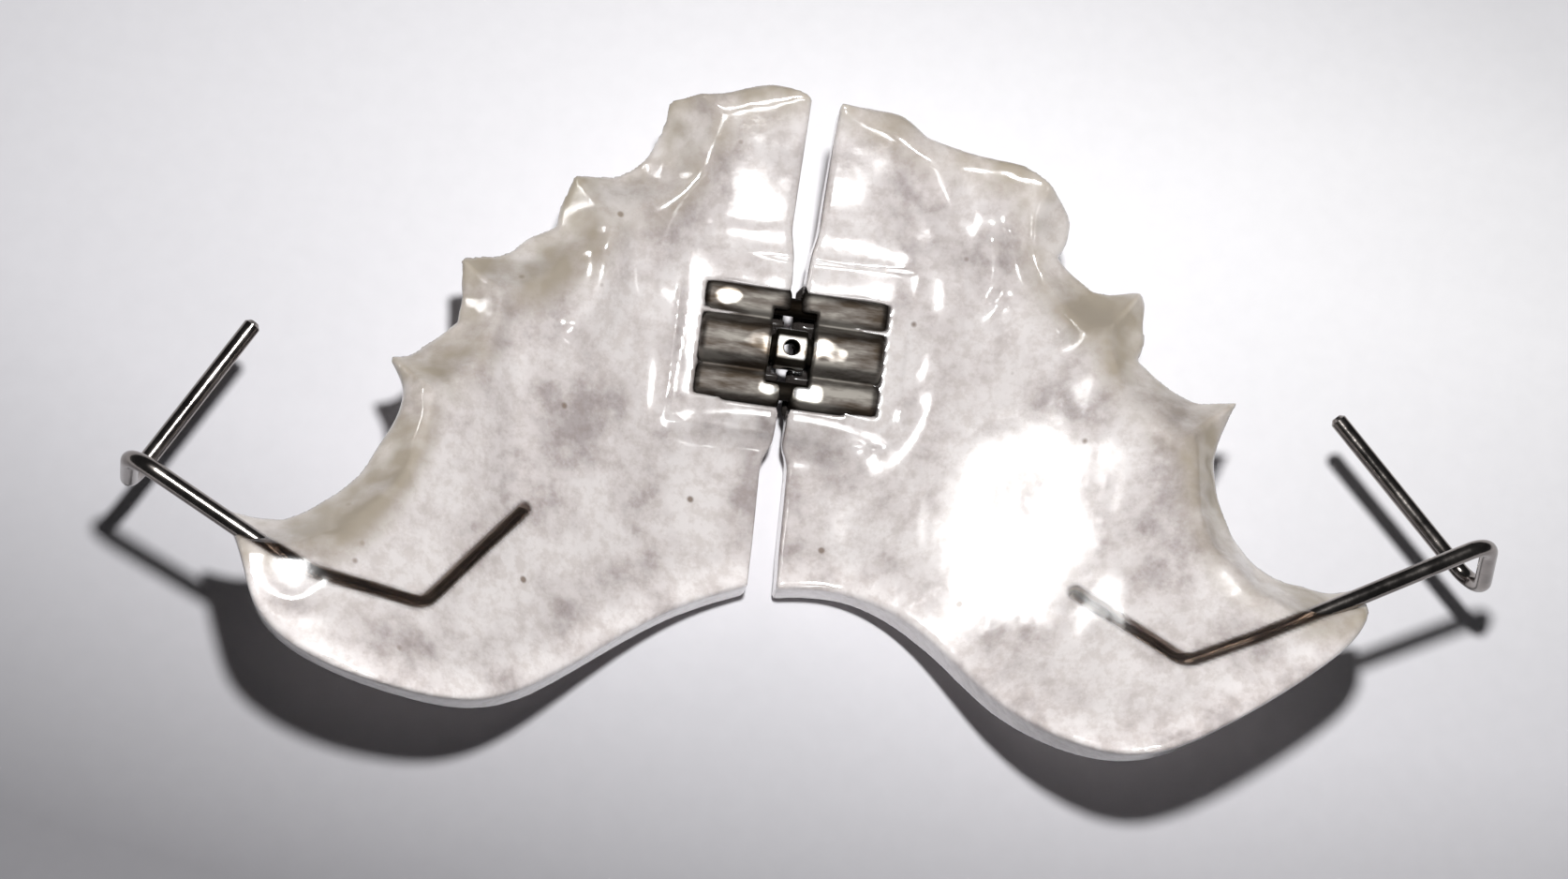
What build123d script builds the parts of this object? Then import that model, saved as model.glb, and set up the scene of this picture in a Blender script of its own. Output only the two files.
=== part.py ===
from build123d import *
from math import cos, pi, sin, sqrt
import os

# Palatal expander: a clear acrylic plate in two halves, a jackscrew across the cut between them,
# and a bent wire clasp at each last molar.
# Millimetres. The origin is the centre of the screw's spindle, on the middle line of the plate.
# +X is to the right of someone who looks at the tongue side with the front teeth's edge on top,
# +Y points to the front teeth, and +Z out of the tongue side. It lies on its palate side.

# Size of the plate, measured from the spindle
arch_half_width = 25.0
front_reach = 10.8
rear_reach = 20.7
middle_rear_reach = 11.5
saw_gap = 1.3

# Form of the palate, as heights over the spindle's axis
rim_height = 7.6
floor_depth = 1.7
floor_setback = 4.4
front_rise = 7.1
rear_rise = 1.2
front_slope_power_share = 1.7
acrylic_thickness = 2.1

# Width of the palate's trough, and how it narrows behind the molars
trough_half_width = 24.0
trough_narrowing = 5.0
narrowing_start = 12.0
narrowing_length = 8.0
narrowing_power_share = 1.5
wall_power_share = 2.1
crest_limit_share = 1.12

# Raised bed of acrylic around the screw
bed_margin = 1.1
bed_top = 0.65
bed_depth = 0.9
bed_corner = 1.6
bed_edge = 0.45

# Expansion screw
screw_tilt_degrees = 12.0
spindle_tube_radius = 1.4
guide_tube_radius = 1.0
guide_spacing = 2.05
block_web = 1.3
block_length = 4.2
block_gap = 0.45
block_chamfer = 0.12
window_width = 2.1
window_length = 3.6
barrel_radius = 1.05
barrel_length = 1.5
barrel_chamfer = 0.12
thread_radius = 0.7
thread_length = 7.6
guide_pin_radius = 0.45
guide_pin_length = 7.6
pin_chamfer = 0.1
key_hole_radius = 0.38
running_clearance = 0.03
bond_clearance = 0.02

# Clasps of stainless wire
wire_diameter = 0.8
tag_depth = 1.0
tag_bend_radius = 1.0
shoulder_bend_radius = 4.0
loop_bend_radius = 1.2
tip_bevel = 0.18

overrun = 3.0

# Places along the plate's edge, from the cut at the front, round the teeth, to the cut at the back.
# Each row is one tooth's contact or one free edge. Across: shares of arch_half_width.
# Along: shares of front_reach in front of the spindle and of rear_reach behind it.
left_edge_shares = [
    [(0.080, 1.051), (0.135, 1.045), (0.183, 1.005), (0.248, 0.974), (0.331, 0.956)],
    [(0.331, 0.956), (0.317, 0.836), (0.321, 0.753), (0.394, 0.693), (0.457, 0.588), (0.475, 0.474), (0.475, 0.350)],
    [(0.475, 0.350), (0.558, 0.251), (0.645, 0.141)],
    [(0.645, 0.141), (0.640, -0.014), (0.632, -0.097)],
    [(0.632, -0.097), (0.691, -0.158), (0.752, -0.212)],
    [(0.752, -0.212), (0.710, -0.292), (0.738, -0.422), (0.790, -0.525), (0.857, -0.607), (0.924, -0.632),
     (0.988, -0.628)],
    [(0.988, -0.628), (0.934, -0.748), (0.893, -0.852), (0.794, -0.934), (0.644, -0.976), (0.514, -0.968),
     (0.355, -0.840), (0.191, -0.666), (0.105, -0.600)],
]
right_edge_shares = [
    [(0.087, 1.018), (0.160, 1.015), (0.203, 0.946)],
    [(0.203, 0.946), (0.316, 0.883), (0.393, 0.857)],
    [(0.393, 0.857), (0.457, 0.759), (0.510, 0.631), (0.486, 0.509)],
    [(0.486, 0.509), (0.545, 0.415), (0.636, 0.364)],
    [(0.636, 0.364), (0.676, 0.228), (0.646, 0.047)],
    [(0.646, 0.047), (0.710, -0.019), (0.841, -0.062)],
    [(0.841, -0.062), (0.795, -0.203), (0.818, -0.334), (0.892, -0.448), (0.980, -0.476), (1.077, -0.470)],
    [(1.077, -0.470), (1.070, -0.550), (0.978, -0.690), (0.810, -0.841), (0.650, -0.921), (0.558, -0.899),
     (0.435, -0.802), (0.267, -0.606), (0.125, -0.545)],
]

# Teeth that the plate's edge fits round, front to back: the middle of each crown, and its radius at the
# gum line as a share of molar_radius
molar_radius = 6.0
crown_flare = 2.0
left_crown_shares = [
    (0.288, 1.620, 1.167), (0.424, 0.827, 0.433), (0.626, 0.534, 0.700), (0.773, -0.028, 0.625),
    (0.965, -0.337, 0.992),
]
right_crown_shares = [
    (0.371, 1.730, 1.550), (0.584, 0.546, 0.333), (0.786, 0.216, 0.583), (1.009, -0.224, 0.875),
]

# Corners of the clasps. The buried tag's corners follow the plate's surface, and the free wire's
# heights are shares of rim_height.
left_tag_shares = [(0.463, -0.497), (0.615, -0.780), (0.816, -0.760)]
left_arm_shares = [(1.145, -0.570, 1.053), (1.171, -0.558, 0.316), (0.996, -0.166, 0.421)]
right_tag_shares = [(0.555, -0.543), (0.740, -0.705), (0.864, -0.634)]
right_arm_shares = [(1.282, -0.362, 1.053), (1.348, -0.406, 0.316), (1.046, -0.034, 0.395)]

# Stations of the plate's cross-sections, as shares of the reach before and behind the spindle
station_shares = [-1.07, -0.82, -0.58, -0.34, -0.12, 0.24, 0.72, 1.18]
section_half_points = 6


def along(share):
    return share * (front_reach if share > 0 else rear_reach)


def middle_height(y):
    """Tongue side of the plate on its middle line."""
    if y > -floor_setback:
        climb = (y + floor_setback) / (front_reach + floor_setback)
        return front_rise * climb ** front_slope_power_share - floor_depth
    drop = (-floor_setback - y) / (rear_reach - floor_setback)
    return rear_rise * drop ** 2 - floor_depth


def trough_width(y):
    """Distance from the middle line to the crest beside the trough."""
    behind = max(-narrowing_start - y, 0) / narrowing_length
    return trough_half_width - trough_narrowing * behind ** narrowing_power_share


def crest_angle(x, y):
    return pi / 2 * min(abs(x) / trough_width(y), crest_limit_share)


def tongue_height(x, y):
    """Tongue side of the plate at any place."""
    rise = rim_height - middle_height(y)
    return middle_height(y) + rise * sin(crest_angle(x, y)) ** wall_power_share


def cross_slope(x, y):
    """Slope of the tongue side across the plate."""
    angle = crest_angle(x, y)
    rise = rim_height - middle_height(y)
    steepness = rise * wall_power_share * sin(angle) ** (wall_power_share - 1) * cos(angle)
    return steepness * pi / 2 / trough_width(y) * (1 if x > 0 else -1)


def palate_point(x, y):
    """Point of the palate side, one thickness below the tongue side."""
    slope = cross_slope(x, y)
    length = sqrt(1 + slope ** 2)
    return (x + acrylic_thickness * slope / length, y, tongue_height(x, y) - acrylic_thickness / length)


def plate_section(station_share):
    """Closed cross-section of the plate at one station."""
    y = along(station_share)
    reach = trough_width(y) * crest_limit_share
    places = [reach * i / section_half_points for i in range(-section_half_points, section_half_points + 1)]
    top = Spline(*[(x, y, tongue_height(x, y)) for x in places])
    bottom = Spline(*[palate_point(x, y) for x in places])
    return make_face([top, Line(top @ 1, bottom @ 1), bottom, Line(bottom @ 0, top @ 0)])


def whole_vault():
    return loft([plate_section(share) for share in station_shares])


def half_outline(edge_shares, side):
    """Outline of one half, seen from the tongue side."""
    front = (side * saw_gap / 2, front_reach)
    back = (side * saw_gap / 2, -middle_rear_reach)
    rows = [[(side * across * arch_half_width, along(share)) for across, share in row] for row in edge_shares]
    rows[0].insert(0, front)
    rows[-1].append(back)
    return make_face([Spline(*row) for row in rows] + [Line(back, front)])


def crown(across, share, radius_share, side):
    """Crown of a tooth: it stands square to the palate's slope, and is wider at its top."""
    x, y = side * across * arch_half_width, along(share)
    radius = radius_share * molar_radius
    reach = sqrt(x ** 2 + (y + floor_setback) ** 2)
    out_x, out_y = x / reach, (y + floor_setback) / reach
    height_at_edge = tongue_height(x - radius * out_x, y - radius * out_y)
    slope = (tongue_height(x, y) - height_at_edge) / radius
    foot = Plane(origin=(x, y, tongue_height(x, y) - acrylic_thickness), z_dir=(-slope * out_x, -slope * out_y, 1))
    below, above = acrylic_thickness / 2, acrylic_thickness + overrun
    flare = crown_flare / acrylic_thickness
    cone = Cone(radius - flare * below, radius + flare * above, below + above)
    return foot.offset((above - below) / 2) * cone


def in_screw_frame(shape):
    """The screw leans with the slope of the palate, about its own axis."""
    return Rot(X=screw_tilt_degrees) * shape


block_end = block_gap / 2 + block_length


def screw_profile(margin):
    """Three tubes side by side, as seen along the spindle."""
    profile = Circle(spindle_tube_radius + margin)
    for place in (-guide_spacing, guide_spacing):
        profile += Pos(place, 0) * Circle(guide_tube_radius + margin)
    return profile + Rectangle(2 * guide_spacing, block_web + 2 * margin)


def screw_bed():
    """Raised acrylic that the blocks are set in."""
    width = 2 * (block_end + bed_margin)
    length = 2 * (guide_spacing + guide_tube_radius + bed_margin)
    bed = extrude(Pos(0, 0, -bed_depth) * RectangleRounded(width, length, bed_corner), bed_depth + bed_top)
    return chamfer(bed.faces().sort_by(Axis.Z)[-1].edges(), bed_edge)


def screw_pocket():
    """Room for the blocks, open on top where they stand out of the bed."""
    return extrude(Plane.YZ * screw_profile(bond_clearance), block_end + bond_clearance, both=True)


def plate_half(vault, edge_shares, crown_shares, side, wire_route):
    blank = extrude(half_outline(edge_shares, side), rim_height + overrun, both=True)
    bed_half = Box(arch_half_width, 2 * front_reach, 2 * rim_height, align=(Align.MIN, Align.CENTER, Align.CENTER))
    bed_half = Pos(side * saw_gap / 2 - (0 if side > 0 else arch_half_width), 0, 0) * bed_half
    half = vault & blank
    for across, share, radius_share in crown_shares:
        half -= crown(across, share, radius_share, side)
    half += in_screw_frame(screw_bed()) & bed_half
    half -= in_screw_frame(screw_pocket())
    return half - wire(wire_route, wire_diameter / 2 + bond_clearance)


def screw_block():
    """Right block: guide tubes at the front and back, the threaded tube between them, and half a window."""
    start = Plane.YZ.offset(block_gap / 2)
    block = extrude(start * screw_profile(0), block_length)
    block = chamfer(block.faces().sort_by(Axis.X)[-1].edges(), block_chamfer)
    block -= Box(window_width, window_length, 2 * spindle_tube_radius + overrun)
    for place in (-guide_spacing, guide_spacing):
        block -= extrude(start * Pos(place, 0) * Circle(guide_pin_radius + running_clearance), block_length)
    return block - extrude(start * Circle(thread_radius + running_clearance), block_length)


def spindle():
    """Barrel with two crossed holes for the key, and a thread at each end."""
    thread = Rot(Y=90) * Cylinder(thread_radius, thread_length)
    thread = chamfer(thread.edges(), pin_chamfer)
    barrel = Rot(Y=90) * Cylinder(barrel_radius, barrel_length)
    barrel = chamfer(barrel.edges(), barrel_chamfer)
    body = thread + barrel
    for turn in (0, 90):
        body -= Rot(X=turn) * Cylinder(key_hole_radius, 2 * barrel_radius + overrun)
    return body


def guide_pin(place):
    pin = Rot(Y=90) * Cylinder(guide_pin_radius, guide_pin_length)
    return Pos(0, place, 0) * chamfer(pin.edges(), pin_chamfer)


def clasp_route(tag_shares, arm_shares, side):
    """Middle line of a clasp, from the buried end of its tag to its free tip."""
    corners = []
    for across, share in tag_shares:
        x, y = side * across * arch_half_width, along(share)
        corners.append((x, y, tongue_height(x, y) - tag_depth))
    for across, share, height in arm_shares:
        corners.append((side * across * arch_half_width, along(share), height * rim_height))
    bends = [tag_bend_radius, shoulder_bend_radius, loop_bend_radius, loop_bend_radius]
    return FilletPolyline(*corners, radius=bends)


def wire(route, radius):
    start = Plane(origin=route @ 0, z_dir=route % 0)
    return sweep(start * Circle(radius), path=route)


def clasp(route):
    """Bent wire with its two cut ends bevelled."""
    solid = wire(route, wire_diameter / 2)
    ends = solid.edges().filter_by(GeomType.CIRCLE).filter_by(
        lambda edge: min((edge.arc_center - route @ 0).length, (edge.arc_center - route @ 1).length) < tip_bevel)
    return chamfer(ends, tip_bevel)


def build_nodes():
    vault = whole_vault()
    left_route = clasp_route(left_tag_shares, left_arm_shares, -1)
    right_route = clasp_route(right_tag_shares, right_arm_shares, 1)
    block = screw_block()
    return {
        "left_plate": plate_half(vault, left_edge_shares, left_crown_shares, -1, left_route),
        "right_plate": plate_half(vault, right_edge_shares, right_crown_shares, 1, right_route),
        "left_screw_block": in_screw_frame(mirror(block, about=Plane.YZ)),
        "right_screw_block": in_screw_frame(block),
        "spindle": in_screw_frame(spindle()),
        "front_guide_pin": in_screw_frame(guide_pin(guide_spacing)),
        "rear_guide_pin": in_screw_frame(guide_pin(-guide_spacing)),
        "left_clasp": clasp(left_route),
        "right_clasp": clasp(right_route),
    }


os.makedirs("parts", exist_ok=True)
for name, solid in build_nodes().items():
    export_step(solid, f"parts/{name}.step")
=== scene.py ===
import math
import bpy
import numpy as np
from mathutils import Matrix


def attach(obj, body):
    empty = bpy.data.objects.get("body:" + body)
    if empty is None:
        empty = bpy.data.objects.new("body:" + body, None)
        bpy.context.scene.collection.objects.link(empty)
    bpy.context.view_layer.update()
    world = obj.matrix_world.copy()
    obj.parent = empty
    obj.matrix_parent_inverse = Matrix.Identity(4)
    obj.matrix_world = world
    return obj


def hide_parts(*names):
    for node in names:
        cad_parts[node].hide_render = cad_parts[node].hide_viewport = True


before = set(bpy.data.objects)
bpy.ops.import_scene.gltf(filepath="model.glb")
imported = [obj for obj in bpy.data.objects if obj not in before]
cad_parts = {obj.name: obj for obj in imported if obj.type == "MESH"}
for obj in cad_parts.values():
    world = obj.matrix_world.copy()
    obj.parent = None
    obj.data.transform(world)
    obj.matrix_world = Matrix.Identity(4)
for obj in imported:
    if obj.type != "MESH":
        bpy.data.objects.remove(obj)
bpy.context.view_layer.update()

import openvdb
from mathutils import Matrix, Vector

# Millimetres to metres. Sizes below are in millimetres, with the spindle's centre as the origin.
MM = 0.001

# Plate, as in the part's source
ARCH_HALF_WIDTH = 25.0
FRONT_REACH = 10.8
REAR_REACH = 20.7
MIDDLE_REAR_REACH = 11.5
SAW_GAP = 1.3
RIM_HEIGHT = 7.6
FLOOR_DEPTH = 1.7
FLOOR_SETBACK = 4.4
FRONT_RISE = 7.1
REAR_RISE = 1.2
FRONT_SLOPE_POWER = 1.7
THICKNESS = 2.1
TROUGH_HALF_WIDTH = 24.0
TROUGH_NARROWING = 5.0
NARROWING_START = 12.0
NARROWING_LENGTH = 8.0
NARROWING_POWER = 1.5
WALL_POWER = 2.1
CREST_LIMIT = 1.12
PALATE_BEYOND = 4.0
PALATE_SAMPLES = 600
MOLAR_RADIUS = 6.0
CROWN_FLARE = 2.0

# Outline rows and crowns: shares of the arch's half width, and of the reach before or behind the spindle
LEFT_EDGE = [
    [(0.080, 1.051), (0.135, 1.045), (0.183, 1.005), (0.248, 0.974), (0.331, 0.956)],
    [(0.331, 0.956), (0.317, 0.836), (0.321, 0.753), (0.394, 0.693), (0.457, 0.588), (0.475, 0.474),
     (0.475, 0.350)],
    [(0.475, 0.350), (0.558, 0.251), (0.645, 0.141)],
    [(0.645, 0.141), (0.640, -0.014), (0.632, -0.097)],
    [(0.632, -0.097), (0.691, -0.158), (0.752, -0.212)],
    [(0.752, -0.212), (0.710, -0.292), (0.738, -0.422), (0.790, -0.525), (0.857, -0.607), (0.924, -0.632),
     (0.988, -0.628)],
    [(0.988, -0.628), (0.934, -0.748), (0.893, -0.852), (0.794, -0.934), (0.644, -0.976), (0.514, -0.968),
     (0.355, -0.840), (0.191, -0.666), (0.105, -0.600)],
]
RIGHT_EDGE = [
    [(0.087, 1.018), (0.160, 1.015), (0.203, 0.946)],
    [(0.203, 0.946), (0.316, 0.883), (0.393, 0.857)],
    [(0.393, 0.857), (0.457, 0.759), (0.510, 0.631), (0.486, 0.509)],
    [(0.486, 0.509), (0.545, 0.415), (0.636, 0.364)],
    [(0.636, 0.364), (0.676, 0.228), (0.646, 0.047)],
    [(0.646, 0.047), (0.710, -0.019), (0.841, -0.062)],
    [(0.841, -0.062), (0.795, -0.203), (0.818, -0.334), (0.892, -0.448), (0.980, -0.476), (1.077, -0.470)],
    [(1.077, -0.470), (1.070, -0.550), (0.978, -0.690), (0.810, -0.841), (0.650, -0.921), (0.558, -0.899),
     (0.435, -0.802), (0.267, -0.606), (0.125, -0.545)],
]
LEFT_CROWNS = [
    (0.288, 1.620, 1.167), (0.424, 0.827, 0.433), (0.626, 0.534, 0.700), (0.773, -0.028, 0.625),
    (0.965, -0.337, 0.992),
]
RIGHT_CROWNS = [(0.371, 1.730, 1.550), (0.584, 0.546, 0.333), (0.786, 0.216, 0.583), (1.009, -0.224, 0.875)]

# Clasps' buried tags and the corner after them, as shares like the outline's
LEFT_TAG = [(0.463, -0.497), (0.615, -0.780), (0.816, -0.760), (1.145, -0.570)]
RIGHT_TAG = [(0.555, -0.543), (0.740, -0.705), (0.864, -0.634), (1.282, -0.362)]
TAG_BENDS = [1.0, 4.0]
WIRE_RADIUS = 0.4

# Screw and its bed of acrylic
SCREW_TILT = math.radians(12.0)
SPINDLE_TUBE_RADIUS = 1.4
GUIDE_TUBE_RADIUS = 1.0
GUIDE_SPACING = 2.05
BLOCK_WEB = 1.3
BLOCK_GAP = 0.45
BLOCK_END = 4.425
WINDOW_HALF_WIDTH = 1.05
WINDOW_HALF_LENGTH = 1.8
SPINDLE_FLAT = 1.24
GUIDE_FLAT = 0.9
GUIDE_HOLE_RADIUS = 0.48
THREAD_HOLE_RADIUS = 0.73
BED_HALF_WIDTH = 5.525
BED_HALF_LENGTH = 4.15
BED_TOP = 0.65
BED_DEPTH = 0.9
BED_CORNER = 1.6
POCKET_CLEARANCE = 0.03
BARREL_RADIUS = 1.05
BARREL_LENGTH = 1.5
BARREL_FLAT = 0.97
THREAD_RADIUS = 0.7
THREAD_LENGTH = 7.6
THREAD_PITCH = 0.4
THREAD_DEPTH = 0.14
THREAD_CHAMFER = 0.1
THREAD_STEEPNESS = 1.2
KEY_HOLE_RADIUS = 0.38

# Highlights painted bright on top of the blocks: across, along in the screw's own frame, half width, half
# length
PAINTED_HIGHLIGHTS = [
    (0.3, 0.0, 2.3, 0.62), (-3.2, 2.1, 0.75, 0.45), (-0.85, -2.05, 0.55, 0.42), (1.1, -2.05, 0.85, 0.45),
]
PAINTED_HIGHLIGHT_OUTER = 1.3
PAINTED_HIGHLIGHT_INNER = 0.55
PAINTED_HIGHLIGHT_LEVEL = 0.7
# Painted shade on the steel: its value on the blocks' tops, and the heights over which it rises from
# nothing low down; then where the barrel's flats are painted bright as a highlight
SHADE_TOP_VALUE = 0.3
SHADE_FROM_HEIGHT = 0.45
SHADE_TO_HEIGHT = 0.85
BARREL_HIGHLIGHT_LOW = 0.86
BARREL_HIGHLIGHT_HIGH = 0.93

# Saw cut: places along it from the back to the front, and half its width at each
CUT_PLACES = [-12.0, -10.4, -8.6, -6.5, -3.2, 3.2, 5.5, 11.0]
CUT_HALF_WIDTHS = [0.64, 0.60, 0.36, 0.25, 0.24, 0.34, 0.47, 0.65]

# Lips of acrylic under the screw: how far each side's edge is from the middle, their reach and their top
LIP_EDGE = {-1: 0.43, 1: 0.01}
LIP_HALF_LENGTH = 3.4
LIP_TOP = -0.7
LIP_FADE_LENGTH = 0.5
LIP_FADE_DEPTH = 0.4

# Widths of the rounded corners where two surfaces meet
PLATE_EDGE_ROUND = 0.35
OUTLINE_ROUND = 0.28
TOOTH_ROUND = 0.3
CUT_ROUND = 0.18
BED_EDGE_ROUND = 1.6
BED_FOOT_ROUND = 1.9
FLAT_ROUND = 0.1
TUBE_ROUND = 0.25
BLOCK_GAP_ROUND = 0.6
BLOCK_END_ROUND = 0.4
WINDOW_ROUND = 0.2
HOLE_ROUND = 0.06
BARREL_ROUND = 0.16

# Unevenness in layers: height, distance between bumps, seed
TONGUE_SWELLS = [(0.22, 4.6, 3), (0.09, 2.3, 5)]
PALATE_SWELLS = [(0.12, 2.6, 21), (0.06, 1.1, 22)]
TOOTH_SWELLS = [(0.14, 1.7, 31), (0.05, 0.9, 32)]
PAINTED_HIGHLIGHT_SWELLS = [(0.25, 0.5, 41)]

# Calmer part of the tongue side, on the right flank: middle, radii across and along, share taken off
CALM_X = 9.5
CALM_Y = -8.0
CALM_RADIUS_X = 6.0
CALM_RADIUS_Y = 11.0
CALM_SHARE = 0.75
RELIEF_BY_SCREW = 0.2

# Folds of the palate that the tongue side shows: points across and along, height, half width
FOLDS = [
    ([(-11.3, 4.5), (-9.9, 3.9), (-9.2, 2.2), (-9.4, 0.5), (-10.2, -1.1)], 0.588, 0.75),
    ([(-6.0, 1.2), (-5.1, -1.0), (-5.3, -3.5)], 0.35, 0.9),
    ([(-13.7, -0.5), (-13.1, -3.5), (-12.6, -7.0), (-12.2, -10.4)], -0.308, 0.9),
    ([(-5.8, 8.3), (-5.9, 6.4), (-6.5, 4.2), (-6.9, 2.4)], 0.35, 1.0),
    ([(8.9, 5.6), (8.9, 3.0), (8.5, 0.4), (7.2, -1.6), (5.5, -3.3)], 0.476, 0.7),
    ([(9.3, 2.8), (8.4, 0.8), (6.9, -2.2), (4.7, -4.2)], -0.392, 0.6),
    ([(9.6, 6.0), (10.8, 3.8), (12.3, 1.6)], -0.42, 0.7),
    ([(4.9, 9.3), (6.3, 7.5), (7.6, 5.5)], 0.35, 0.8),
]

# Low dome ground near the left corner: across, along, height, slopes across and along, its radius and
# the radius of its curve
GROUND_DOME = (-21.1, -15.75, 7.5, -0.116, 0.087, 2.1, 12.0)

# Milkiness of the acrylic, which is clearer in the middle and clearest over the buried wire
HAZE = 0.62
HAZE_AT_EDGE = 0.22
HAZE_EDGE_WIDTH = 2.2
CLEAR_WIDTH = 0.5 * WIRE_RADIUS
MILKY_FROM = 1.15 * WIRE_RADIUS

# Widths over which the darker tint beside the teeth and the painted shade at the screw fade
COLLAR_WIDTH = 1.3
COLLAR_FULL = 0.1
SCREW_SHADE_WIDTH = 0.12
SCREW_SHADE_FULL = 0.04
SCREW_SHADE_WIDTH_UNDER = 0.2

# Floor in metres: middle and reach of the pool of light painted on it, and where it begins to glow for the
# eye
LIGHT_POOL_PLACE = (0.0373, 0.0125, 0)
LIGHT_POOL_REACH = (0.156, 0.0506, 1)
FAR_START = 0.046
FAR_END = 0.10
FAR_GLOW = 0.72

# Lamps: name, place and aim in metres, size, power. The windows light the acrylic's gloss alone.
WORLD_STRENGTH = 0.035
KEY = ("key", (-0.0055, -0.008, 0.112), (0, -0.006, 0), (0.009, 0.009), 0.152)
WINDOWS = [
    ("left_window", (-0.587, 0.257, 0.498), (0.009, -0.008, 0), (0.22, 0.055), 0.62),
    ("near_window", (0.04, -0.46, 0.57), (0.0, 0.006, 0), (0.20, 0.10), 0.9),
    ("far_window", (0.42, -0.30, 0.56), (-0.006, 0.005, 0), (0.10, 0.08), 0.12),
]

# Camera: degrees, millimetres from the spindle's centre, and lens on a film 36 mm wide
CAMERA_ELEVATION = 71.088
CAMERA_AZIMUTH = -16.338
CAMERA_ROLL = 23.235
CAMERA_PLACE = (-11.576, -44.594, 121.831)
CAMERA_LENS = 62.14

# Finest step of each mesh
PLATE_VOXEL = 0.15
BLOCK_VOXEL = 0.06
SPINDLE_VOXEL = 0.045


def along(share):
    return share * (FRONT_REACH if share > 0 else REAR_REACH)


def smooth_step(low, high, value):
    t = np.clip((value - low) / (high - low), 0, 1)
    return t * t * (3 - 2 * t)


def soft_max(a, b, width):
    """Larger of two fields, with a rounded corner of the given width between them."""
    return np.maximum(a, b) + np.maximum(width - np.abs(a - b), 0) ** 2 / (4 * width)


def soft_min(a, b, width):
    return -soft_max(-a, -b, width)


def swells(x, y, size, seed):
    """Smooth random heights between -1 and 1, with bumps as far apart as the size."""
    lattice = np.random.default_rng(seed).uniform(-1, 1, (256, 256))
    u = x / size + 128
    v = y / size + 128
    i = np.floor(u).astype(int)
    j = np.floor(v).astype(int)
    s = smooth_step(0, 1, u - i)
    t = smooth_step(0, 1, v - j)
    near = lattice[i, j] * (1 - s) + lattice[i + 1, j] * s
    far = lattice[i, j + 1] * (1 - s) + lattice[i + 1, j + 1] * s
    return near * (1 - t) + far * t


def unevenness(x, y, layers):
    return sum(height * swells(x, y, size, seed) for height, size, seed in layers)


def curve_through(points, steps=10):
    """Natural cubic spline through the points, by its chord lengths."""
    points = np.array(points, float)
    chords = np.hypot(*np.diff(points, axis=0).T)
    last = len(points) - 1
    matrix = np.eye(last + 1)
    right = np.zeros_like(points)
    for i in range(1, last):
        before, after = chords[i - 1], chords[i]
        matrix[i, i - 1:i + 2] = before, 2 * (before + after), after
        right[i] = 6 * ((points[i + 1] - points[i]) / after - (points[i] - points[i - 1]) / before)
    bend = np.linalg.solve(matrix, right)
    curve = []
    for i in range(last):
        t = np.linspace(0, 1, steps, endpoint=False)[:, None]
        span = chords[i] ** 2 / 6
        curve.append((1 - t) * points[i] + t * points[i + 1]
                     + span * (((1 - t) ** 3 - (1 - t)) * bend[i] + (t ** 3 - t) * bend[i + 1]))
    return np.vstack(curve + [points[-1:]])


def distance_to_chain(x, y, points):
    nearest = np.full(x.shape, 1e9)
    for (ax, ay), (bx, by) in zip(points[:-1], points[1:]):
        ex, ey = bx - ax, by - ay
        t = np.clip(((x - ax) * ex + (y - ay) * ey) / (ex * ex + ey * ey), 0, 1)
        nearest = np.minimum(nearest, np.hypot(x - ax - t * ex, y - ay - t * ey))
    return nearest


def bent_line(corners, bends):
    """Line through the corners, with each inner corner rounded off."""
    corners = [np.array(corner, float) for corner in corners]
    line = [corners[0]]
    for before, corner, after, radius in zip(corners, corners[1:], corners[2:], bends):
        back = (before - corner) / np.linalg.norm(before - corner)
        ahead = (after - corner) / np.linalg.norm(after - corner)
        half_angle = math.acos(np.clip(back @ ahead, -1, 1)) / 2
        setback = radius / math.tan(half_angle)
        start = corner + back * setback
        end = corner + ahead * setback
        for t in np.linspace(0, 1, 6):
            line.append((1 - t) ** 2 * start + 2 * t * (1 - t) * corner + t ** 2 * end)
    return np.array(line + [corners[-1]])


def inside_outline(x, y, points):
    inside = np.zeros(x.shape, bool)
    for (ax, ay), (bx, by) in zip(points, np.roll(points, -1, axis=0)):
        crosses = (ay > y) != (by > y)
        reach = ax + (y - ay) * (bx - ax) / ((by - ay) or 1e-12)
        inside ^= crosses & (x < reach)
    return inside


def middle_height(y):
    climb = np.maximum(y + FLOOR_SETBACK, 0) / (FRONT_REACH + FLOOR_SETBACK)
    drop = np.maximum(-FLOOR_SETBACK - y, 0) / (REAR_REACH - FLOOR_SETBACK)
    return FRONT_RISE * climb ** FRONT_SLOPE_POWER + REAR_RISE * drop ** 2 - FLOOR_DEPTH


def trough_width(y):
    behind = np.maximum(-NARROWING_START - y, 0) / NARROWING_LENGTH
    return TROUGH_HALF_WIDTH - TROUGH_NARROWING * behind ** NARROWING_POWER


def tongue_height(x, y):
    angle = math.pi / 2 * np.minimum(np.abs(x) / trough_width(y), CREST_LIMIT)
    low = middle_height(y)
    return low + (RIM_HEIGHT - low) * np.sin(angle) ** WALL_POWER


def slope_length(height, step):
    """Length of the surface for one step along the ground, on a grid of heights."""
    return np.sqrt(1 + np.gradient(height, step, axis=0) ** 2 + np.gradient(height, step, axis=1) ** 2)


def palate_height(xs, ys):
    """Palate side on a grid: one thickness under the tongue side, square to its slope across."""
    dense = np.linspace(xs[0] - PALATE_BEYOND, xs[-1] + PALATE_BEYOND, PALATE_SAMPLES)
    heights = np.empty((len(xs), len(ys)))
    for j, y in enumerate(ys):
        top = tongue_height(dense, np.full_like(dense, y))
        slope = np.gradient(top, dense)
        length = np.sqrt(1 + slope ** 2)
        moved = np.maximum.accumulate(dense + THICKNESS * slope / length)
        heights[:, j] = np.interp(xs, moved, top - THICKNESS / length)
    return heights


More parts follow.
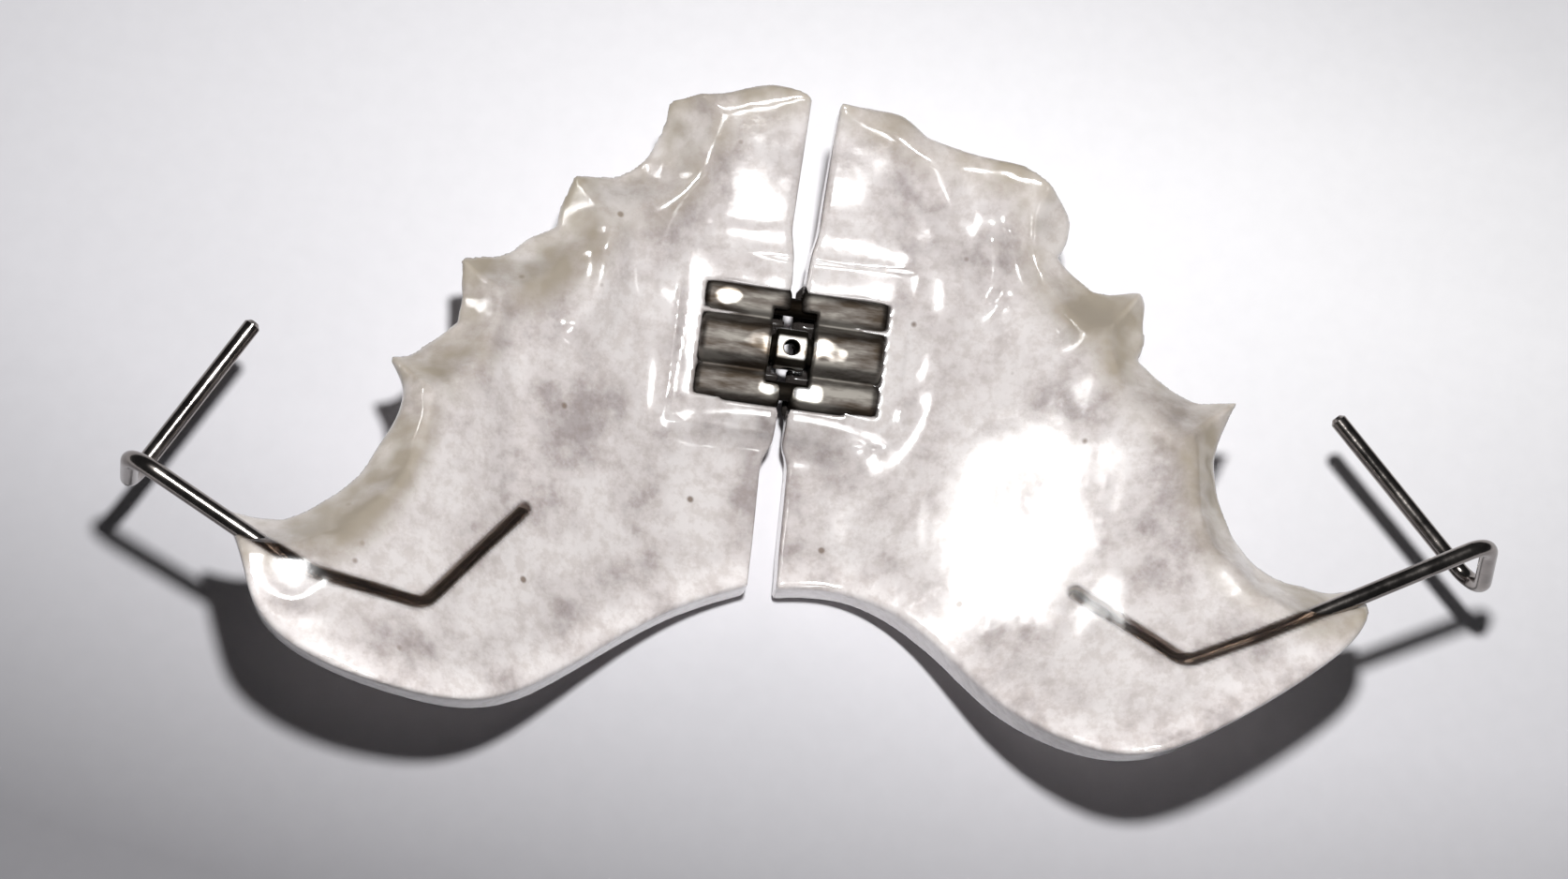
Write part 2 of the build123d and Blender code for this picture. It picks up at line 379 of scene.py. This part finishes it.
def tongue_relief(x, y):
    """Folds, and the slight unevenness of hand-polished acrylic, which is least on the right flank."""
    relief = unevenness(x, y, TONGUE_SWELLS)
    for points, height, half_width in FOLDS:
        away = distance_to_chain(x, y, curve_through(points, 6))
        relief = relief + height * np.exp(-(away / half_width) ** 2)
    from_calm = np.hypot((x - CALM_X) / CALM_RADIUS_X, (y - CALM_Y) / CALM_RADIUS_Y)
    relief = relief * (1 - CALM_SHARE * smooth_step(1.0, 0.6, from_calm))
    near_screw = (np.abs(x) < BED_HALF_WIDTH) & (np.abs(y) < BED_HALF_LENGTH)
    return np.where(near_screw, RELIEF_BY_SCREW * relief, relief)


def tongue_side(x, y):
    """Height of the tongue side with its relief and the low dome ground into it."""
    top = tongue_height(x, y) + tongue_relief(x, y)
    dome_x, dome_y, level, slope_x, slope_y, radius, curve = GROUND_DOME
    from_dome = np.hypot(x - dome_x, y - dome_y)
    ground = level + slope_x * (x - dome_x) + slope_y * (y - dome_y) - from_dome ** 2 / (2 * curve)
    return top + smooth_step(radius, 0.6 * radius, from_dome) * (ground - top)


def in_screw_frame(y, z):
    """Along and up in the frame of the screw, which is tilted about the X axis."""
    return (y * math.cos(SCREW_TILT) + z * math.sin(SCREW_TILT),
            z * math.cos(SCREW_TILT) - y * math.sin(SCREW_TILT))


def screw_tubes(y, z, margin):
    """Distance to the outline of the three tubes, in the screw's own frame."""
    distance = np.hypot(y, z) - SPINDLE_TUBE_RADIUS - margin
    for place in (-GUIDE_SPACING, GUIDE_SPACING):
        distance = np.minimum(distance, np.hypot(y - place, z) - GUIDE_TUBE_RADIUS - margin)
    web = np.maximum(np.abs(y) - GUIDE_SPACING, np.abs(z) - BLOCK_WEB / 2 - margin)
    return np.minimum(distance, web)


def mesh_from_field(name, field, low, voxel):
    """Mesh of the surface where the field is zero."""
    band = 3 * voxel
    grid = openvdb.FloatGrid(band)
    grid.copyFromArray(np.clip(field, -band, band).astype(np.float32))
    points, quads = grid.convertToQuads(isovalue=0.0)
    points = (points * voxel + low).astype(np.float64)
    a, b, c, d = (points[quads[:, i]] for i in range(4))
    volume = np.einsum("ij,ij->", a, np.cross(b, c)) + np.einsum("ij,ij->", a, np.cross(c, d))
    if volume < 0:
        quads = quads[:, ::-1]
    mesh = bpy.data.meshes.new(name)
    mesh.from_pydata((points * MM).tolist(), [], quads.tolist())
    mesh.validate()
    mesh.polygons.foreach_set("use_smooth", np.ones(len(mesh.polygons), bool))
    mesh.update()
    obj = bpy.data.objects.new(name, mesh)
    bpy.context.scene.collection.objects.link(obj)
    return obj, points


def crown_distance(x, y, z, crowns, side):
    """Distance to the nearest tooth's crown, less than zero inside it."""
    flare = CROWN_FLARE / THICKNESS
    nearest = np.full(x.shape, 1e9)
    for across, share, radius_share in crowns:
        cx, cy = side * across * ARCH_HALF_WIDTH, along(share)
        radius = radius_share * MOLAR_RADIUS
        reach = math.hypot(cx, cy + FLOOR_SETBACK)
        out = np.array([cx, cy + FLOOR_SETBACK]) / reach
        level = tongue_height(cx, cy)
        edge_level = tongue_height(cx - radius * out[0], cy - radius * out[1])
        slope = (level - edge_level) / radius
        axis = np.array([-slope * out[0], -slope * out[1], 1])
        axis = axis / np.linalg.norm(axis)
        dx, dy, dz = x - cx, y - cy, z - (level - THICKNESS)
        height = dx * axis[0] + dy * axis[1] + dz * axis[2]
        across_axis = np.sqrt(np.maximum(dx * dx + dy * dy + dz * dz - height * height, 0))
        cone = (across_axis - radius - flare * height) / math.sqrt(1 + flare ** 2)
        cone = np.maximum(cone, -THICKNESS / 2 - height)
        nearest = np.minimum(nearest, cone)
    return nearest


def paint(obj, name, values):
    attribute = obj.data.attributes.new(name, "FLOAT", "POINT")
    attribute.data.foreach_set("value", values.astype(np.float32))


def plate_outline(edge, side):
    rows = [[(side * across * ARCH_HALF_WIDTH, along(share)) for across, share in row] for row in edge]
    rows[0].insert(0, (side * SAW_GAP / 2, FRONT_REACH))
    rows[-1].append((side * SAW_GAP / 2, -MIDDLE_REAR_REACH))
    return np.vstack([curve_through(row)[:-1] for row in rows] + [np.array(rows[-1][-1:])])


def shell(px, py, xs, ys, zs, outline):
    """Vaulted sheet inside the outline, as a field."""
    z = zs[None, None, :]
    top = tongue_side(px, py)
    bottom = palate_height(xs, ys) + unevenness(px, py, PALATE_SWELLS)
    above = (z - top[:, :, None]) / slope_length(top, PLATE_VOXEL)[:, :, None]
    below = (bottom[:, :, None] - z) / slope_length(bottom, PLATE_VOXEL)[:, :, None]
    plan = distance_to_chain(px, py, np.vstack([outline, outline[:1]]))
    plan = np.where(inside_outline(px, py, outline), -plan, plan)
    sheet = soft_max(above, below, PLATE_EDGE_ROUND)
    return soft_max(sheet, plan[:, :, None] * np.ones((1, 1, len(zs))), OUTLINE_ROUND)


def screw_bed(x, ty, tz):
    """Raised bed of acrylic that holds the screw, as a field."""
    corner_x = np.maximum(np.abs(x) - BED_HALF_WIDTH + BED_CORNER, 0)
    corner_y = np.maximum(np.abs(ty) - BED_HALF_LENGTH + BED_CORNER, 0)
    bed = soft_max(np.hypot(corner_x, corner_y) - BED_CORNER, tz - BED_TOP, BED_EDGE_ROUND)
    return np.maximum(bed, -BED_DEPTH - tz)


def half_saw_gap(y, ty, tz, side):
    """Half the saw cut's width, which is less at the lips under the screw."""
    lip = smooth_step(LIP_HALF_LENGTH, LIP_HALF_LENGTH - LIP_FADE_LENGTH, np.abs(ty))
    lip = lip * smooth_step(LIP_TOP, LIP_TOP - LIP_FADE_DEPTH, tz)
    cut = np.interp(y, CUT_PLACES, CUT_HALF_WIDTHS)
    return cut + (LIP_EDGE[side] - cut) * lip


def paint_plate(obj, points, outline, crowns, tag, side):
    """Darker tint beside the teeth, painted shade where the acrylic meets the screw and under its windows,
    and how clear the acrylic is.
    """
    x, y, z = points.T
    beside_teeth = crown_distance(x, y, z, crowns, side)
    paint(obj, "collar", smooth_step(COLLAR_WIDTH, COLLAR_FULL, beside_teeth))
    ty, tz = in_screw_frame(y, z)
    beside_screw = np.maximum(screw_tubes(ty, tz, 0), np.abs(x) - BLOCK_END)
    under_screw = np.maximum(np.abs(ty) - LIP_HALF_LENGTH, tz - LIP_TOP)
    under_screw = np.maximum(under_screw, np.abs(x) - SAW_GAP / 2 - 0.05)
    # Painted shade: the acrylic against the screw's tubes and under its windows is painted near black and
    # made less clear.
    screw_shade = np.maximum(smooth_step(SCREW_SHADE_WIDTH, SCREW_SHADE_FULL, beside_screw),
                       smooth_step(SCREW_SHADE_WIDTH_UNDER, 0.0, under_screw))
    paint(obj, "screw_shade", screw_shade)
    wire = bent_line([(side * across * ARCH_HALF_WIDTH, along(share)) for across, share in tag], TAG_BENDS)
    beside_wire = distance_to_chain(x, y, wire)
    haze = HAZE + HAZE_AT_EDGE * smooth_step(HAZE_EDGE_WIDTH, 0.2, distance_to_chain(x, y, outline))
    clearness = 1 - haze * smooth_step(CLEAR_WIDTH, MILKY_FROM, beside_wire)
    paint(obj, "clearness", clearness * (1 - screw_shade))


def plate(name, edge, crowns, tag, side):
    """One acrylic half as a smooth closed mesh."""
    outline = plate_outline(edge, side)
    margin = 4 * PLATE_VOXEL
    low = np.array([*(outline.min(axis=0) - margin), -FLOOR_DEPTH - 2 * THICKNESS])
    high = np.array([*(outline.max(axis=0) + margin), RIM_HEIGHT + 1.5])
    xs, ys, zs = (np.arange(low[k], high[k], PLATE_VOXEL) for k in range(3))
    px, py = np.meshgrid(xs, ys, indexing="ij")
    x, y, z = np.meshgrid(xs, ys, zs, indexing="ij")
    ty, tz = in_screw_frame(y, z)

    field = shell(px, py, xs, ys, zs, outline)
    teeth = crown_distance(x, y, z, crowns, side) + unevenness(px, py, TOOTH_SWELLS)[:, :, None]
    field = soft_max(field, -teeth, TOOTH_ROUND)
    field = soft_min(field, screw_bed(x, ty, tz), BED_FOOT_ROUND)
    pocket = np.maximum(screw_tubes(ty, tz, -POCKET_CLEARANCE), np.abs(x) - BLOCK_END + POCKET_CLEARANCE)
    field = np.maximum(field, -pocket)
    field = soft_max(field, half_saw_gap(y, ty, tz, side) - side * x, CUT_ROUND)

    obj, points = mesh_from_field(name, field, low, PLATE_VOXEL)
    paint_plate(obj, points, outline, crowns, tag, side)
    return obj


def new_material(name):
    material = bpy.data.materials.new(name)
    material.use_nodes = True
    tree = material.node_tree
    tree.nodes.clear()
    output = tree.nodes.new("ShaderNodeOutputMaterial")
    shader = tree.nodes.new("ShaderNodeBsdfPrincipled")
    tree.links.new(shader.outputs["BSDF"], output.inputs["Surface"])
    return material, tree, shader


def pattern(tree, kind, scale, stretch=(1, 1, 1), **settings):
    """Texture that is fixed to the object, with its scale in repeats per metre."""
    place = tree.nodes.new("ShaderNodeTexCoord")
    mapping = tree.nodes.new("ShaderNodeMapping")
    mapping.inputs["Scale"].default_value = stretch
    tree.links.new(place.outputs["Object"], mapping.inputs["Vector"])
    texture = tree.nodes.new(kind)
    tree.links.new(mapping.outputs["Vector"], texture.inputs["Vector"])
    texture.inputs["Scale"].default_value = scale
    for key, value in settings.items():
        texture.inputs[key].default_value = value
    return texture


def painted(tree, name):
    """Value painted on the mesh's points."""
    node = tree.nodes.new("ShaderNodeAttribute")
    node.attribute_name = name
    return node.outputs["Fac"]


def grey(value):
    return (value, value, value)


def ramp(tree, source, stops):
    node = tree.nodes.new("ShaderNodeValToRGB")
    tree.links.new(source, node.inputs["Fac"])
    while len(node.color_ramp.elements) < len(stops):
        node.color_ramp.elements.new(0.5)
    for element, (position, colour) in zip(node.color_ramp.elements, stops):
        element.position = position
        element.color = (*colour, 1)
    return node.outputs["Color"]


def mix_colour(tree, factor, first, second, blend="MIX"):
    node = tree.nodes.new("ShaderNodeMix")
    node.data_type = "RGBA"
    node.blend_type = blend
    for socket, value in ((node.inputs[0], factor), (node.inputs[6], first), (node.inputs[7], second)):
        if hasattr(value, "links"):
            tree.links.new(value, socket)
        elif socket.type == "RGBA":
            socket.default_value = (*value, 1)
        else:
            socket.default_value = value
    return node.outputs[2]


def math_node(tree, operation, *values):
    node = tree.nodes.new("ShaderNodeMath")
    node.operation = operation
    for socket, value in zip(node.inputs, values):
        if hasattr(value, "links"):
            tree.links.new(value, socket)
        else:
            socket.default_value = value
    return node.outputs[0]


def bump(tree, shader, height, strength, distance, before=None):
    node = tree.nodes.new("ShaderNodeBump")
    node.inputs["Strength"].default_value = strength
    node.inputs["Distance"].default_value = distance
    tree.links.new(height, node.inputs["Height"])
    if before is not None:
        tree.links.new(before, node.inputs["Normal"])
    tree.links.new(node.outputs["Normal"], shader.inputs["Normal"])
    return node.outputs["Normal"]


def acrylic():
    """Clear acrylic gone slightly milky, with pores, specks, a darker, warmer tint beside the teeth and
    painted shade at the screw.
    """
    material, tree, shader = new_material("milky_acrylic")
    cloud = pattern(tree, "ShaderNodeTexNoise", 300, Detail=5.0, Roughness=0.6)
    colour = ramp(tree, cloud.outputs["Fac"], [(0.34, (0.57, 0.515, 0.505)), (0.46, (0.85, 0.79, 0.775)),
                                               (0.58, (1.0, 0.95, 0.935))])
    grain = pattern(tree, "ShaderNodeTexNoise", 1500, Detail=3.0, Roughness=0.7)
    grain_colour = ramp(tree, grain.outputs["Fac"], [(0.38, (0.80, 0.77, 0.75)), (0.56, grey(1.0))])
    colour = mix_colour(tree, 0.7, colour, grain_colour, "MULTIPLY")
    speck = pattern(tree, "ShaderNodeTexVoronoi", 380)
    speck_mask = ramp(tree, speck.outputs["Distance"], [(0.04, grey(1)), (0.08, grey(0))])
    colour = mix_colour(tree, speck_mask, colour, (0.34, 0.27, 0.23))
    # Darker, browner tint beside the tooth cuts, made patchy by a noise.
    mottle = pattern(tree, "ShaderNodeTexNoise", 240, Detail=3.0, Roughness=0.6)
    tint_share = ramp(tree, mottle.outputs["Fac"], [(0.40, grey(0.3)), (0.60, grey(0.95))])
    collar_mask = math_node(tree, "MULTIPLY", painted(tree, "collar"), tint_share)
    colour = mix_colour(tree, collar_mask, colour, (0.46, 0.40, 0.315))
    clearness = painted(tree, "clearness")
    over_wire = ramp(tree, clearness, [(0.7, grey(0)), (0.95, grey(1))])
    colour = mix_colour(tree, over_wire, colour, (0.34, 0.25, 0.19))
    # Painted shade at the screw: near black where the acrylic meets the tubes and under the windows.
    colour = mix_colour(tree, painted(tree, "screw_shade"), colour, (0.035, 0.03, 0.028))
    tree.links.new(colour, shader.inputs["Base Color"])
    rough = ramp(tree, cloud.outputs["Fac"], [(0.35, grey(0.12)), (0.7, grey(0.22))])
    tree.links.new(rough, shader.inputs["Roughness"])
    shader.inputs["IOR"].default_value = 1.49
    tree.links.new(clearness, shader.inputs["Transmission Weight"])
    shader.inputs["Coat Weight"].default_value = 0.8
    shader.inputs["Coat IOR"].default_value = 1.6
    shader.inputs["Coat Roughness"].default_value = 0.15
    wave = pattern(tree, "ShaderNodeTexNoise", 420, Detail=2.0, Roughness=0.5)
    first = bump(tree, shader, wave.outputs["Fac"], 0.3, 0.0004)
    bump(tree, shader, grain.outputs["Fac"], 0.1, 0.0001, first)
    return material


def steel(name, colour, roughness, grain_scale):
    """Polished steel with fine draw marks and slightly uneven polish."""
    material, tree, shader = new_material(name)
    cloud = pattern(tree, "ShaderNodeTexNoise", grain_scale, Detail=4.0, Roughness=0.6)
    dark = tuple(0.72 * value for value in colour)
    mottled = ramp(tree, cloud.outputs["Fac"], [(0.35, dark), (0.62, colour)])
    tree.links.new(mottled, shader.inputs["Base Color"])
    rough = ramp(tree, cloud.outputs["Fac"], [(0.3, grey(roughness * 0.7)), (0.7, grey(roughness * 1.5))])
    tree.links.new(rough, shader.inputs["Roughness"])
    shader.inputs["Metallic"].default_value = 1.0
    marks = pattern(tree, "ShaderNodeTexNoise", grain_scale * 6, Detail=2.0)
    bump(tree, shader, marks.outputs["Fac"], 0.12, 0.00004)
    return material


def screw_steel():
    """Steel mottled by a film of acrylic, painted near black low down as shade and painted bright in places
    as highlights.
    """
    material, tree, shader = new_material("screw_steel_worn")
    cloud = pattern(tree, "ShaderNodeTexNoise", 900, (0.35, 1.5, 1.0), Detail=4.0, Roughness=0.6)
    mottle = ramp(tree, cloud.outputs["Fac"], [(0.38, (0.45, 0.38, 0.31)), (0.50, (1.0, 0.97, 0.94)),
                                              (0.62, (1.9, 1.95, 1.9))])
    steel_light_mask = painted(tree, "painted_light_on_steel")
    # Painted light: near black for the painted shade low down, bright where highlights are painted.
    steel_colour = ramp(tree, steel_light_mask, [(0.0, (0.02, 0.017, 0.014)), (SHADE_TOP_VALUE, (0.11, 0.10, 0.092)),
                                     (0.55, (0.3, 0.28, 0.26)), (1.0, (0.85, 0.82, 0.78))])
    tree.links.new(mix_colour(tree, 1.0, steel_colour, mottle, "MULTIPLY"), shader.inputs["Base Color"])
    rough = ramp(tree, steel_light_mask, [(0.0, grey(0.7)), (SHADE_TOP_VALUE, grey(0.62)), (1.0, grey(0.5))])
    tree.links.new(rough, shader.inputs["Roughness"])
    shader.inputs["Metallic"].default_value = 1.0
    marks = pattern(tree, "ShaderNodeTexNoise", 5000, Detail=2.0)
    bump(tree, shader, marks.outputs["Fac"], 0.1, 0.00003)
    return material


def floor_material():
    """Pale paper with a painted pool of light, brighter at the right and painted darker in front, that
    stays pale to the eye far away.
    """
    material, tree, shader = new_material("pale_paper_painted_light")
    place = tree.nodes.new("ShaderNodeTexCoord")
    gradient = tree.nodes.new("ShaderNodeTexGradient")
    gradient.gradient_type = "SPHERICAL"
    mapping = tree.nodes.new("ShaderNodeMapping")
    mapping.vector_type = "TEXTURE"
    mapping.inputs["Location"].default_value = LIGHT_POOL_PLACE
    mapping.inputs["Scale"].default_value = LIGHT_POOL_REACH
    tree.links.new(place.outputs["Object"], mapping.inputs["Vector"])
    tree.links.new(mapping.outputs["Vector"], gradient.inputs["Vector"])
    # Painted pool of light: the paper's colour darkens away from its middle, as light falling off.
    colour = ramp(tree, gradient.outputs["Fac"], [(0.12, (0.26, 0.255, 0.27)), (0.465, (0.70, 0.69, 0.72)),
                                                  (0.9, (0.97, 0.96, 0.98))])
    fibre = pattern(tree, "ShaderNodeTexNoise", 900, Detail=4.0)
    fibre_colour = ramp(tree, fibre.outputs["Fac"], [(0.3, grey(0.975)), (0.7, grey(1))])
    tree.links.new(mix_colour(tree, 1.0, colour, fibre_colour, "MULTIPLY"), shader.inputs["Base Color"])
    shader.inputs["Roughness"].default_value = 0.9
    shader.inputs["Specular IOR Level"].default_value = 0.2
    bump(tree, shader, fibre.outputs["Fac"], 0.1, 0.0001)

    away = tree.nodes.new("ShaderNodeVectorMath")
    away.operation = "LENGTH"
    tree.links.new(place.outputs["Object"], away.inputs[0])
    far = tree.nodes.new("ShaderNodeMapRange")
    far.inputs["From Min"].default_value = FAR_START
    far.inputs["From Max"].default_value = FAR_END
    far.inputs["To Max"].default_value = FAR_GLOW
    tree.links.new(away.outputs["Value"], far.inputs["Value"])
    rays = tree.nodes.new("ShaderNodeLightPath")
    seen = math_node(tree, "MAXIMUM", rays.outputs["Is Camera Ray"], rays.outputs["Is Glossy Ray"])
    seen = math_node(tree, "MAXIMUM", seen, rays.outputs["Is Transmission Ray"])
    direct = math_node(tree, "LESS_THAN", rays.outputs["Diffuse Depth"], 0.5)
    seen = math_node(tree, "MULTIPLY", seen, direct)
    glow = math_node(tree, "MULTIPLY", far.outputs[0], seen)
    tree.links.new(glow, shader.inputs["Emission Strength"])
    material.cycles.emission_sampling = "NONE"
    shader.inputs["Emission Color"].default_value = (0.93, 0.92, 0.95, 1)
    return material


def painted_light_on_steel(x, y):
    """How bright the steel is painted as highlights, seen from the top in the screw's own frame."""
    painted_highlight = np.zeros_like(x)
    ragged = unevenness(x, y, PAINTED_HIGHLIGHT_SWELLS)
    for across, place, half_width, half_length in PAINTED_HIGHLIGHTS:
        away = np.hypot((x - across) / half_width, (y - place) / half_length) + ragged
        painted_highlight = np.maximum(painted_highlight, smooth_step(PAINTED_HIGHLIGHT_OUTER, PAINTED_HIGHLIGHT_INNER, away))
    return painted_highlight


def screw_block(name, side):
    """Three tubes side by side with rounded ends, flattened crowns and half a window round the barrel."""
    margin = 4 * BLOCK_VOXEL
    reach = GUIDE_SPACING + GUIDE_TUBE_RADIUS + margin
    far = BLOCK_END + margin
    near = BLOCK_GAP / 2 - margin
    low = np.array([near if side > 0 else -far, -reach, -SPINDLE_TUBE_RADIUS - margin])
    high = np.array([far if side > 0 else -near, reach, SPINDLE_TUBE_RADIUS + margin])
    x, y, z = np.meshgrid(*[np.arange(low[k], high[k], BLOCK_VOXEL) for k in range(3)], indexing="ij")
    x = side * x
    field = soft_max(np.hypot(y, z) - SPINDLE_TUBE_RADIUS, z - SPINDLE_FLAT, FLAT_ROUND)
    web = np.maximum(np.abs(y) - GUIDE_SPACING, np.abs(z) - BLOCK_WEB / 2)
    field = np.minimum(field, web)
    for place in (-GUIDE_SPACING, GUIDE_SPACING):
        tube = soft_max(np.hypot(y - place, z) - GUIDE_TUBE_RADIUS, z - GUIDE_FLAT, FLAT_ROUND)
        field = soft_min(field, tube, TUBE_ROUND)
    field = soft_max(field, BLOCK_GAP / 2 - x, BLOCK_GAP_ROUND)
    field = soft_max(field, x - BLOCK_END, BLOCK_END_ROUND)
    window = np.minimum(WINDOW_HALF_WIDTH - x, WINDOW_HALF_LENGTH - np.abs(y))
    field = soft_max(field, window, WINDOW_ROUND)
    for place in (-GUIDE_SPACING, GUIDE_SPACING):
        field = soft_max(field, GUIDE_HOLE_RADIUS - np.hypot(y - place, z), HOLE_ROUND)
    field = soft_max(field, THREAD_HOLE_RADIUS - np.hypot(y, z), HOLE_ROUND)
    obj, points = mesh_from_field(name, field, low, BLOCK_VOXEL)
    # Painted shade low on the blocks, and painted highlights on their tops.
    painted_shade = SHADE_TOP_VALUE * smooth_step(SHADE_FROM_HEIGHT, SHADE_TO_HEIGHT, points[:, 2])
    painted_highlight = painted_light_on_steel(points[:, 0], points[:, 1]) * (points[:, 2] > PAINTED_HIGHLIGHT_LEVEL)
    paint(obj, "painted_light_on_steel", np.maximum(painted_shade, painted_highlight))
    obj.data.transform(Matrix.Rotation(SCREW_TILT, 4, "X"))
    obj.data.update()
    return obj


def threaded_spindle(name):
    """Barrel with crossed key holes, and a left and a right thread at its ends."""
    margin = 4 * SPINDLE_VOXEL
    reach = BARREL_RADIUS + margin
    low = np.array([-THREAD_LENGTH / 2 - margin, -reach, -reach])
    axes = [np.arange(low[k], -low[k], SPINDLE_VOXEL) for k in range(3)]
    x, y, z = np.meshgrid(*axes, indexing="ij")
    radius = np.hypot(y, z)
    turn = np.arctan2(z, y) / (2 * math.pi)
    phase = np.abs(((np.abs(x) / THREAD_PITCH - turn) % 1.0) * 2 - 1)
    thread = (radius - THREAD_RADIUS + THREAD_DEPTH * (1 - phase)) / THREAD_STEEPNESS
    past_end = np.abs(x) - THREAD_LENGTH / 2
    chamfer = (past_end + radius - THREAD_RADIUS + THREAD_CHAMFER) / math.sqrt(2)
    thread = np.maximum(np.maximum(thread, past_end), chamfer)
    flats = np.maximum(np.abs(y), np.abs(z)) - BARREL_FLAT
    barrel = soft_max(radius - BARREL_RADIUS, flats, FLAT_ROUND)
    barrel = soft_max(barrel, np.abs(x) - BARREL_LENGTH / 2, BARREL_ROUND)
    field = np.minimum(thread, barrel)
    for a, b in ((x, y), (x, z)):
        field = soft_max(field, KEY_HOLE_RADIUS - np.hypot(a, b), HOLE_ROUND)
    obj, points = mesh_from_field(name, field, low, SPINDLE_VOXEL)
    # Painted highlight on the barrel's flats.
    outward = np.maximum(np.abs(points[:, 1]), np.abs(points[:, 2]))
    paint(obj, "painted_light_on_steel", smooth_step(BARREL_HIGHLIGHT_LOW, BARREL_HIGHLIGHT_HIGH, outward))
    obj.data.transform(Matrix.Rotation(SCREW_TILT, 4, "X"))
    obj.data.update()
    return obj


def studio_world(strength):
    """Faint even light from all round."""
    world = bpy.data.worlds.new("studio")
    world.use_nodes = True
    background = world.node_tree.nodes["Background"]
    background.inputs["Color"].default_value = (0.95, 0.97, 1.0, 1)
    background.inputs["Strength"].default_value = strength
    bpy.context.scene.world = world


def area_light(name, place, target, size, power):
    data = bpy.data.lights.new(name, "AREA")
    data.shape = "ELLIPSE"
    data.size, data.size_y = size
    data.energy = power
    obj = bpy.data.objects.new(name, data)
    obj.location = place
    obj.rotation_euler = (Vector(target) - Vector(place)).to_track_quat("-Z", "Y").to_euler()
    obj.visible_camera = False
    bpy.context.scene.collection.objects.link(obj)
    return obj


def camera():
    """Camera at the photograph's place: nearly overhead, behind and to the left of the plate."""
    elevation = math.radians(CAMERA_ELEVATION)
    azimuth = math.radians(CAMERA_AZIMUTH)
    roll = math.radians(CAMERA_ROLL)
    back = Vector((math.sin(azimuth) * math.cos(elevation), -math.cos(azimuth) * math.cos(elevation),
                   math.sin(elevation)))
    right = (-back).cross(Vector((0, 0, 1))).normalized()
    up = right.cross(-back)
    rolled_right = right * math.cos(roll) + up * math.sin(roll)
    rolled_up = up * math.cos(roll) - right * math.sin(roll)
    data = bpy.data.cameras.new("camera")
    data.sensor_width = 36.0
    data.lens = CAMERA_LENS
    data.clip_start = 0.005
    obj = bpy.data.objects.new("camera", data)
    turn = Matrix((rolled_right, rolled_up, back)).transposed()
    obj.matrix_world = Matrix.Translation(Vector(CAMERA_PLACE) * MM) @ turn.to_4x4()
    bpy.context.scene.collection.objects.link(obj)
    bpy.context.scene.camera = obj


acrylic_material = acrylic()
wire_material = steel("polished_wire", (0.34, 0.31, 0.29), 0.17, 900)
screw_material = screw_steel()

left = plate("left_acrylic", LEFT_EDGE, LEFT_CROWNS, LEFT_TAG, -1)
right = plate("right_acrylic", RIGHT_EDGE, RIGHT_CROWNS, RIGHT_TAG, 1)
for piece, node, body in ((left, "left_plate", "left_half"), (right, "right_plate", "right_half")):
    piece.data.materials.append(acrylic_material)
    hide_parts(node)
    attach(piece, body)

screw = threaded_spindle("threaded_spindle")
screw.data.materials.append(screw_material)
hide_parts("spindle")
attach(screw, "spindle")

for node, body, side in (("left_screw_block", "left_half", -1), ("right_screw_block", "right_half", 1)):
    block = screw_block(node + "_worn", side)
    block.data.materials.append(screw_material)
    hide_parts(node)
    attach(block, body)

for node, material in (("left_clasp", wire_material), ("right_clasp", wire_material),
                       ("front_guide_pin", screw_material), ("rear_guide_pin", screw_material)):
    node_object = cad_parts[node]
    for part in (node_object if isinstance(node_object, (list, tuple)) else [node_object]):
        for place in part.material_slots:
            place.material = material

floor_level = min(min(v.co.z for v in left.data.vertices), min(v.co.z for v in right.data.vertices))
floor_mesh = bpy.data.meshes.new("floor")
floor_mesh.from_pydata([(-1, -1, 0), (1, -1, 0), (1, 1, 0), (-1, 1, 0)], [], [(0, 1, 2, 3)])
floor = bpy.data.objects.new("floor", floor_mesh)
floor.location.z = floor_level
floor_mesh.materials.append(floor_material())
bpy.context.scene.collection.objects.link(floor)

studio_world(WORLD_STRENGTH)

area_light(*KEY)
glossy_pieces = bpy.data.collections.new("acrylic_pieces")
for piece in (left, right):
    glossy_pieces.objects.link(piece)
for window in WINDOWS:
    lamp = area_light(*window)
    lamp.light_linking.receiver_collection = glossy_pieces
    lamp.visible_diffuse = False

bpy.context.scene.view_settings.view_transform = "Standard"
camera()
